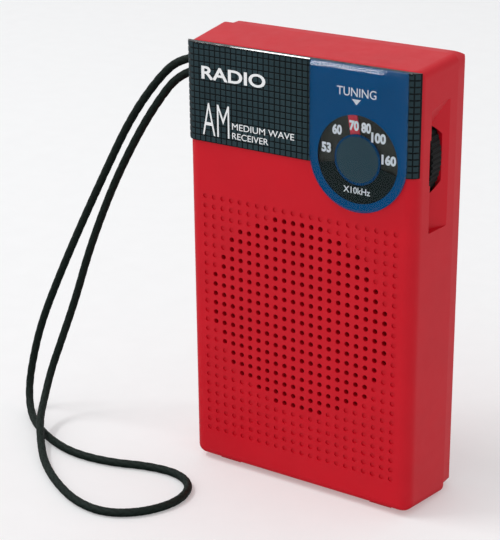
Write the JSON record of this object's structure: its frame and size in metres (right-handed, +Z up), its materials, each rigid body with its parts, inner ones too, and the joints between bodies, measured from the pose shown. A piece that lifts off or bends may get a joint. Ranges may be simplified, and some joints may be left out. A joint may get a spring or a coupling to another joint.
{
  "type": "transistor pocket radio",
  "caption": "Upright pocket radio with a round-holed speaker grille, a dial window with a thumb tuning wheel in the side, and a braided wrist strap.",
  "frame": {"origin": "on the surface the radio stands on, at the middle of the width and depth of the radio without its strap", "axes": "+X to the right as seen from the front, +Y from the front to the back, +Z up"},
  "size_m": [0.1192, 0.0635, 0.1113],
  "materials": {
    "red_shell": "glossy moulded red",
    "panel_plastic": "glossy dark slate with a fine moulded grid",
    "blue_window": "clear blue acrylic, polished",
    "mask_print": "printed blue sheet",
    "black_wheel": "satin black moulding",
    "dial_brown": "smoked brown",
    "pointer_red": "painted red",
    "steel": "plated steel",
    "tinned_steel": "pressed and tinned",
    "contact_metal": "nickelled brass",
    "magnet_ferrite": "sintered ferrite",
    "cone_paper": "pressed paper",
    "grille_fabric": "thin black cloth",
    "board_laminate": "brown laminate",
    "can_metal": "drawn can",
    "core_ferrite": "coloured ferrite cores",
    "capacitor_plastic": "milky plastic",
    "sleeve_blue": "shrunk sleeve",
    "ceramic_tan": "dipped ceramic",
    "resistor_tan": "banded tan bodies",
    "transistor_black": "moulded epoxy",
    "copper_wire": "enamelled copper wire",
    "winding_tape": "yellow tape over windings",
    "holder_plastic": "natural nylon",
    "cell_jacket": "plain printed jacket",
    "lead_plastic": "insulated wire",
    "strap_braid": "tight dark green-black braid",
    "volume_plastic": "brown phenolic"
  },
  "bodies": {
    "case": {"front_case": "red_shell", "rear_cover": "red_shell", "front_panel": "panel_plastic", "dial_window": "blue_window", "dial_mask": "mask_print", "tuning_capacitor_body": "capacitor_plastic", "tuning_capacitor_screws": "steel", "volume_control_body": "volume_plastic", "speaker_frame": "tinned_steel", "speaker_magnet": "magnet_ferrite", "speaker_yoke": "steel", "speaker_cone": "cone_paper", "speaker_dust_cap": "cone_paper", "speaker_screws": "steel", "grille_cloth": "grille_fabric", "circuit_board": "board_laminate", "transformer_cans": "can_metal", "tuning_cores": "core_ferrite", "audio_transformer_cores": "tinned_steel", "audio_transformer_windings": "winding_tape", "electrolytic_capacitors": "sleeve_blue", "ceramic_capacitors": "ceramic_tan", "resistors": "resistor_tan", "transistors": "transistor_black", "ferrite_rod": "magnet_ferrite", "aerial_coil": "copper_wire", "aerial_holders": "holder_plastic", "earphone_jack": "transistor_black", "battery_cell_lower": "cell_jacket", "battery_cell_upper": "cell_jacket", "battery_link_contact": "contact_metal", "battery_terminals": "contact_metal", "battery_springs": "contact_metal", "battery_leads": "lead_plastic", "speaker_leads": "lead_plastic", "case_screws": "steel", "board_screws": "steel", "strap_bush": "transistor_black", "wrist_strap": "strap_braid"},
    "tuning_dial": {"tuning_wheel": "black_wheel", "dial_disc": "dial_brown", "dial_pointer": "pointer_red", "tuning_wheel_screw": "steel", "tuning_capacitor_shaft": "contact_metal"},
    "volume_dial": {"volume_wheel": "black_wheel", "volume_control_shaft": "holder_plastic", "volume_wheel_screw": "steel"},
    "battery_door": {"battery_door": "red_shell"}
  },
  "joints": [
    {"name": "tuning_turn", "type": "hinge", "parent": "case", "child": "tuning_dial", "pos_m": [0.0162, -0.00358, 0.0885], "axis": [0, -1, 0], "range_deg": [-100, 80]},
    {"name": "volume_turn", "type": "hinge", "parent": "case", "child": "volume_dial", "pos_m": [-0.0233, -0.00358, 0.085], "axis": [0, -1, 0], "range_deg": [0, 280]},
    {"name": "battery_door_swing", "type": "hinge", "parent": "case", "child": "battery_door", "pos_m": [0, 0.01243, 0.0093], "axis": [-1, 0, 0], "range_deg": [0, 100]}
  ]
}
